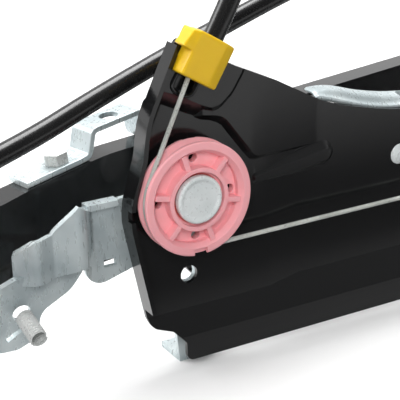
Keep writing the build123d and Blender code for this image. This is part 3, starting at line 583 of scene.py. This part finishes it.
# %% Clip frame and blocks
clip_left = Vector((-clip_out.z, 0, clip_out.x))
clip_front = Vector((0, -1, 0))
clip_seat = Vector((clip_centre.x, 0, clip_centre.z)) * mm
clip_axes = Matrix((clip_out, clip_left, clip_front)).transposed().to_4x4()
clip_place = Matrix.Translation(clip_seat) @ clip_axes


def local_block(name, low, high):
    """Block between two corners, in millimetres of its own frame."""
    size = [(b - a) * mm for a, b in zip(low, high)]
    middle = [(a + b) / 2 * mm for a, b in zip(low, high)]
    bpy.ops.object.select_all(action="DESELECT")
    bpy.ops.mesh.primitive_cube_add(size=1)
    piece = bpy.context.object
    piece.name = name
    piece.data.transform(Matrix.Translation(middle) @ Matrix.Diagonal((*size, 1)))
    return piece


def push(piece, chosen, step):
    """Moves the chosen corners of a piece by a step in millimetres."""
    for vertex in piece.data.vertices:
        if chosen(vertex.co / mm):
            vertex.co += Vector(step) * mm


def joined(name, pieces):
    choose(pieces[0])
    for piece in pieces[1:]:
        piece.select_set(True)
    bpy.ops.object.join()
    bpy.context.object.name = name
    return bpy.context.object


def moulded(piece, voxel, passes):
    """One closed skin over joined blocks, with its edges smoothed round."""
    choose(piece)
    remesh = piece.modifiers.new("skin", "REMESH")
    remesh.mode = "VOXEL"
    remesh.voxel_size = voxel * mm
    bpy.ops.object.modifier_apply(modifier="skin")
    smooth = piece.modifiers.new("round", "SMOOTH")
    smooth.factor = 0.6
    smooth.iterations = passes
    bpy.ops.object.modifier_apply(modifier="round")
    piece.data.shade_smooth()
    return piece


# %% Cap, hook and bridge
cap_corners = ((-7.8, -7.2, 4.0), (7.6, 8.6, 12.0))
cap_crease = -2.4
cap_slope = (0, 0.2, -1.9)
hook_corners = ((0.4, 7.0, 5.4), (7.5, 12.6, 11.9))
hook_slope = (-0.6, -1.7, -0.6)
bridge_corners = ((3.0, -8.2, -1.2), (7.4, 8.2, 5.0))
clip_voxel = 0.32
clip_passes = 26
cap = local_block("cap", *cap_corners)
bpy.ops.object.mode_set(mode="EDIT")
bpy.ops.mesh.select_all(action="SELECT")
bpy.ops.mesh.bisect(plane_co=(0, cap_crease * mm, 0), plane_no=(0, 1, 0))
bpy.ops.object.mode_set(mode="OBJECT")
push(cap, lambda place: place.y < -6 and place.z > 11, cap_slope)
hook = local_block("hook", *hook_corners)
push(hook, lambda place: place.y > 11 and place.x > 7, hook_slope)
bridge = local_block("bridge", *bridge_corners)
front_clip = moulded(joined("front_clip_cap", [cap, hook, bridge]), clip_voxel, clip_passes)
front_clip.data.transform(clip_place)
rear_clip = rear_copy(front_clip, "rear_clip_cap")
dress(front_clip, "clip_plastic", "root", "front_horn_clip")
dress(rear_clip, "clip_plastic", "root", "rear_horn_clip")

# %% [markdown]
# ## Fork below the clip
# The rail's sheet is drawn back behind the cable into a shallow trough, and the fork's edge is rolled
# forward. The trough is a tube cut open along its front. The rolled edge is a thin bead round the fork.

# %% Trough and rolled edge
trough_radius = 4.3
trough_length = 9
trough_along = -9.2
trough_middle = 0.9
trough_front = 2.6
trough_wall = 0.5
bead_front = 4.0
bead_radius = 0.75
bpy.ops.object.select_all(action="DESELECT")
bpy.ops.mesh.primitive_cylinder_add(vertices=40, radius=trough_radius * mm, depth=trough_length * mm)
trough = bpy.context.object
trough.name = "front_fork_trough"
lay_down = Matrix.Rotation(math.pi / 2, 4, "Y")
trough_place = (trough_along * mm, trough_middle * mm, trough_front * mm)
trough.data.transform(Matrix.Translation(trough_place) @ lay_down)
bpy.ops.object.mode_set(mode="EDIT")
bpy.ops.mesh.select_all(action="SELECT")
bpy.ops.mesh.bisect(plane_co=(0, 0, trough_front * mm), plane_no=(0, 0, 1), clear_outer=True)
bpy.ops.object.mode_set(mode="OBJECT")
wall = trough.modifiers.new("wall", "SOLIDIFY")
wall.thickness = trough_wall * mm
wall.offset = 1
choose(trough)
bpy.ops.object.modifier_apply(modifier="wall")
bead_points = [
    (-6.6, 5.2), (-10.2, 5.4), (-12.4, 5.2), (-13.6, 3.6), (-13.9, 1.0), (-13.4, -1.8), (-12.0, -3.3),
    (-9.4, -3.6), (-6.6, -3.5),
]
bead = spline_curve("bead", [(u, v, bead_front) for u, v in bead_points], bead_radius)
choose(bead)
bpy.ops.object.convert(target="MESH")
bead = bpy.context.object
front_fork = joined("front_fork", [trough, bead])
crisp(front_fork, 40)
front_fork.data.transform(clip_place)
rear_fork = rear_copy(front_fork, "rear_fork")
dress(front_fork, "black_paint", "root")
dress(rear_fork, "black_paint", "root")

# %% [markdown]
# ## Top bracket
# A zinc strap lies along the top flange. Its back half is raised and its front edge is rolled down onto the
# rail. The strap is a grid whose rows follow the rail's edge and whose columns follow that section. A punch
# cuts the hole for the door's screw. A wall, a hook and a leg lead from it down the back of the rail. The
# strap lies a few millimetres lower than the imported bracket, as it does in the photograph.

# %% Strap, hook and leg
edge_line_points = [
    (56, 53.4), (58, 52.7), (60.5, 51.7), (63, 50.6), (68, 48.6), (73, 46.8), (78, 45.2), (84, 43.8),
    (90, 43.0), (98, 42.6), (108, 42.5), (128, 42.5),
]
strap_section = [(3.7, 1.1), (4.6, 1.6), (5.6, 2.2), (6.6, 4.1), (8.0, 4.9), (10.5, 5.2), (13.2, 5.2)]
rise_start = 52.0
rise_end = 66.0
settle_start = 84.0
settle_end = 112.0
settle_share = 0.45
strap_sheet = 1.8
punch_length = 20
leg_corners = ((84, 3.3, 18), (128, 5.2, 33))
back_hook_corners = ((108, 5.0, 31), (128, 14.2, 33))
back_wall_corners = ((108, 12.4, 31.5), (128, 14.2, 44.6))
plate_rim = 0.8
bpy.ops.object.select_all(action="DESELECT")
bpy.ops.mesh.primitive_grid_add(
    x_subdivisions=len(edge_line_points) - 1, y_subdivisions=len(strap_section) - 1, size=1,
)
strap = bpy.context.object
strap.name = "front_top_strap"
for index, vertex in enumerate(strap.data.vertices):
    along_x, along_z = edge_line_points[index % len(edge_line_points)]
    depth, rise = strap_section[index // len(edge_line_points)]
    settled = min(max((along_x - settle_start) / (settle_end - settle_start), 0), 1)
    raised = min((along_x - rise_start) / (rise_end - rise_start), 1)
    vertex.co = Vector((along_x, depth, along_z + rise * raised * (1 - settle_share * settled))) * mm
sheet_wall = strap.modifiers.new("sheet", "SOLIDIFY")
sheet_wall.thickness = strap_sheet * mm
sheet_wall.offset = -1
rounder = strap.modifiers.new("round", "SUBSURF")
rounder.levels = 2
rounder.render_levels = 2
choose(strap)
bpy.ops.object.modifier_apply(modifier="sheet")
bpy.ops.object.modifier_apply(modifier="round")
top_hole = mounts["front_top_hole"]
bpy.ops.object.select_all(action="DESELECT")
punch_radius = top_hole["dims"]["r_mm"]
bpy.ops.mesh.primitive_cylinder_add(vertices=48, radius=punch_radius * mm, depth=punch_length * mm)
punch = bpy.context.object
punch.data.transform(Matrix.Translation(top_hole["pos_m"]))
choose(strap)
hole = strap.modifiers.new("hole", "BOOLEAN")
hole.operation = "DIFFERENCE"
hole.solver = "EXACT"
hole.object = punch
bpy.ops.object.modifier_apply(modifier="hole")
bpy.data.objects.remove(punch)
leg = local_block("leg", *leg_corners)
back_hook = local_block("hook", *back_hook_corners)
back_wall = local_block("wall", *back_wall_corners)
for plate in (leg, back_hook, back_wall):
    choose(plate)
    rim = plate.modifiers.new("rim", "BEVEL")
    rim.width = plate_rim * mm
    rim.segments = 3
    bpy.ops.object.modifier_apply(modifier="rim")
front_strap = joined("front_top_strap", [strap, leg, back_hook, back_wall])
crisp(front_strap, 40)
rear_strap = rear_copy(front_strap, "rear_top_strap")
dress(front_strap, "zinc_steel", "root", "front_top_bracket")
dress(rear_strap, "zinc_steel", "root", "rear_top_bracket")

# %% [markdown]
# ## Threaded studs
# The stud that fixes the bracket to the door is rolled with a coarse thread and ends in a dog point, a
# short plain tip that finds the hole. One pitch of the thread is drawn as an edge line, and the Screw
# modifier winds it up the shank. The collar, core and point are turned from a second line.

# %% Stud
stud_mount = mounts["front_stud"]
stud_axis = Vector(stud_mount["axis"])
stud_radius = stud_mount["dims"]["r_mm"]
stud_middle = 7.8
stud_base = Vector(stud_mount["pos_m"]) / mm - stud_axis * stud_middle
stud_length = 18.0
thread_pitch = 1.0
thread_start = 1.6
thread_turns = 12
thread_depth = 0.55
turning_steps = 36
bracket_sheet = 2.0


def edge_line(name, points):
    """Line of (radius, height) points in the XZ plane, in millimetres."""
    bpy.ops.object.select_all(action="DESELECT")
    bpy.ops.mesh.primitive_plane_add(size=1)
    piece = bpy.context.object
    piece.name = name
    mesh = piece.data
    mesh.clear_geometry()
    places = [(r * mm, 0, h * mm) for r, h in points]
    mesh.from_pydata(places, [(i, i + 1) for i in range(len(points) - 1)], [])
    return piece


def turned(piece, steps, rise=0.0, rounds=1):
    """Winds an edge line about the upright axis with the Screw modifier."""
    screw = piece.modifiers.new("screw", "SCREW")
    screw.axis = "Z"
    screw.angle = 2 * math.pi
    screw.steps = steps
    screw.render_steps = steps
    screw.screw_offset = rise * mm
    screw.iterations = rounds
    screw.use_merge_vertices = rise == 0
    choose(piece)
    bpy.ops.object.modifier_apply(modifier="screw")
    bpy.ops.object.mode_set(mode="EDIT")
    bpy.ops.mesh.select_all(action="SELECT")
    bpy.ops.mesh.remove_doubles(threshold=0.000001)
    bpy.ops.mesh.normals_make_consistent(inside=False)
    bpy.ops.object.mode_set(mode="OBJECT")
    return piece


root_radius = stud_radius - thread_depth
thread_line = [
    (root_radius, 0),
    (root_radius, 0.12),
    (stud_radius - 0.04, 0.46),
    (stud_radius - 0.04, 0.58),
    (root_radius, 0.92),
    (root_radius, 1.0),
]
core_line = [
    (0, -bracket_sheet - 1.6),
    (4.6, -bracket_sheet - 1.6),
    (5.0, -bracket_sheet - 1.2),
    (5.0, -bracket_sheet),
    (3.1, -bracket_sheet),
    (3.1, 0),
    (4.2, 0),
    (4.4, 0.2),
    (4.3, 0.55),
    (3.3, 1.1),
    (3.0, 1.7),
    (root_radius + 0.02, 2.1),
    (root_radius + 0.02, stud_length - 3.9),
    (2.35, stud_length - 3.3),
    (2.2, stud_length - 3.0),
    (2.2, stud_length - 0.6),
    (2.0, stud_length - 0.15),
    (1.7, stud_length),
    (0, stud_length),
]
thread_edge = edge_line("front_threaded_stud", thread_line)
thread = turned(thread_edge, turning_steps, thread_pitch, thread_turns)
thread.data.transform(Matrix.Translation((0, 0, thread_start * mm)))
core = turned(edge_line("stud_core", core_line), turning_steps)
front_stud = joined("front_threaded_stud", [thread, core])
crisp(front_stud, 35)
upright = stud_axis.to_track_quat("Z", "Y").to_matrix().to_4x4()
front_stud.data.transform(Matrix.Translation(stud_base * mm) @ upright)
rear_stud = rear_copy(front_stud, "rear_threaded_stud")
dress(front_stud, "bolt_steel", "root", "front_mounting_stud")
dress(rear_stud, "bolt_steel", "root", "rear_mounting_stud")

# %% [markdown]
# ## Floor, world and lamps
# The photograph's background is white. Its gloss black is nearly black on faces that look towards the camera
# and pale on level ones, as if the room were dark in front and bright behind. So the floor and the world are
# white only where the camera sees them directly. Other rays see a floor that is dark just in front of the
# part and lighter further off, and a world that is bright behind the part and dim before it. Under even
# light the black looks greyer than it does here.

# %% Floor
floor_level = cad_low.z
table_tones = [(-0.45, 0.60), (-0.24, 0.45), (-0.13, 0.05), (-0.06, 0.07), (0.03, 0.86)]
table_near = -0.5
table_far = 0.1
floor_span = 14
floor_seen = 0.80
floor_glow = 0.05
bpy.ops.object.select_all(action="DESELECT")
bpy.ops.mesh.primitive_plane_add(size=floor_span, location=(0, 0, floor_level))
floor = bpy.context.object
floor.name = "floor"
floor_material = bpy.data.materials.new("white_floor")
floor_material.use_nodes = True
tree = floor_material.node_tree
floor_shader = tree.nodes["Principled BSDF"]
floor_shader.inputs["Roughness"].default_value = 0.95
floor_shader.inputs["Specular IOR Level"].default_value = 0.1
floor_place = tree.nodes.new("ShaderNodeTexCoord")
floor_axes = tree.nodes.new("ShaderNodeSeparateXYZ")
reach = tree.nodes.new("ShaderNodeMapRange")
reach.inputs["From Min"].default_value = table_near
reach.inputs["From Max"].default_value = table_far
tree.links.new(floor_place.outputs["Object"], floor_axes.inputs["Vector"])
tree.links.new(floor_axes.outputs["Y"], reach.inputs["Value"])
tone_stops = [((y - table_near) / (table_far - table_near), (tone, tone, tone)) for y, tone in table_tones]
shade = ramp(floor_material, reach.outputs["Result"], tone_stops)
rays = tree.nodes.new("ShaderNodeLightPath")
seen = tree.nodes.new("ShaderNodeMix")
seen.data_type = "FLOAT"
seen.inputs["B"].default_value = floor_seen
glow = tree.nodes.new("ShaderNodeMath")
glow.operation = "MULTIPLY"
glow.inputs[1].default_value = floor_glow
tree.links.new(rays.outputs["Is Camera Ray"], seen.inputs["Factor"])
tree.links.new(shade.outputs["Color"], seen.inputs["A"])
tree.links.new(seen.outputs["Result"], floor_shader.inputs["Base Color"])
tree.links.new(rays.outputs["Is Camera Ray"], glow.inputs[0])
tree.links.new(glow.outputs["Value"], floor_shader.inputs["Emission Strength"])
floor_shader.inputs["Emission Color"].default_value = (1, 1, 1, 1)
floor.data.materials.append(floor_material)
print("floor at", round(floor_level, 4))

# %% World
room_back_way = (0.10, 0.85, 0.45)
room_front_end = -0.15
room_back_end = 0.70
room_dim = 0.12
room_bright = 1.0
world = bpy.data.worlds.new("studio")
bpy.context.scene.world = world
world.use_nodes = True
world_tree = world.node_tree
sky = world_tree.nodes["Background"]
room_place = world_tree.nodes.new("ShaderNodeTexCoord")
room_back = world_tree.nodes.new("ShaderNodeVectorMath")
room_back.operation = "DOT_PRODUCT"
room_back.inputs[1].default_value = room_back_way
room_light = world_tree.nodes.new("ShaderNodeMapRange")
room_light.interpolation_type = "SMOOTHSTEP"
room_light.inputs["From Min"].default_value = room_front_end
room_light.inputs["From Max"].default_value = room_back_end
room_light.inputs["To Min"].default_value = room_dim
room_light.inputs["To Max"].default_value = room_bright
world_tree.links.new(room_place.outputs["Generated"], room_back.inputs[0])
world_tree.links.new(room_back.outputs["Value"], room_light.inputs["Value"])
world_tree.links.new(room_light.outputs["Result"], sky.inputs["Strength"])
sky.inputs["Color"].default_value = (1, 1, 1, 1)
white = world_tree.nodes.new("ShaderNodeBackground")
white.inputs["Strength"].default_value = 1.0
world_rays = world_tree.nodes.new("ShaderNodeLightPath")
mix = world_tree.nodes.new("ShaderNodeMixShader")
world_tree.links.new(world_rays.outputs["Is Camera Ray"], mix.inputs["Fac"])
world_tree.links.new(sky.outputs["Background"], mix.inputs[1])
world_tree.links.new(white.outputs["Background"], mix.inputs[2])
world_tree.links.new(mix.outputs["Shader"], world_tree.nodes["World Output"].inputs["Surface"])


# %% Lamps
def lamp(name, place, target, size, power, glossy):
    data = bpy.data.lights.new(name, "AREA")
    data.shape = "DISK"
    data.size = size
    data.energy = power
    light = bpy.data.objects.new(name, data)
    bpy.context.scene.collection.objects.link(light)
    light.location = place
    light.rotation_mode = "QUATERNION"
    light.rotation_quaternion = (Vector(target) - Vector(place)).to_track_quat("-Z", "Y")
    light.visible_glossy = glossy
    print("lamp", name, "watts", power)


lamp("overhead", (0.30, 0.35, 1.4), (0.1, 0, 0), size=1.0, power=24, glossy=True)
lamp("left_window", (-0.95, 0.75, 0.95), (0.0, 0, 0), size=0.8, power=9, glossy=True)
lamp("front_fill", (-0.7, -1.2, 0.9), (0.0, 0, 0), size=0.9, power=20, glossy=False)
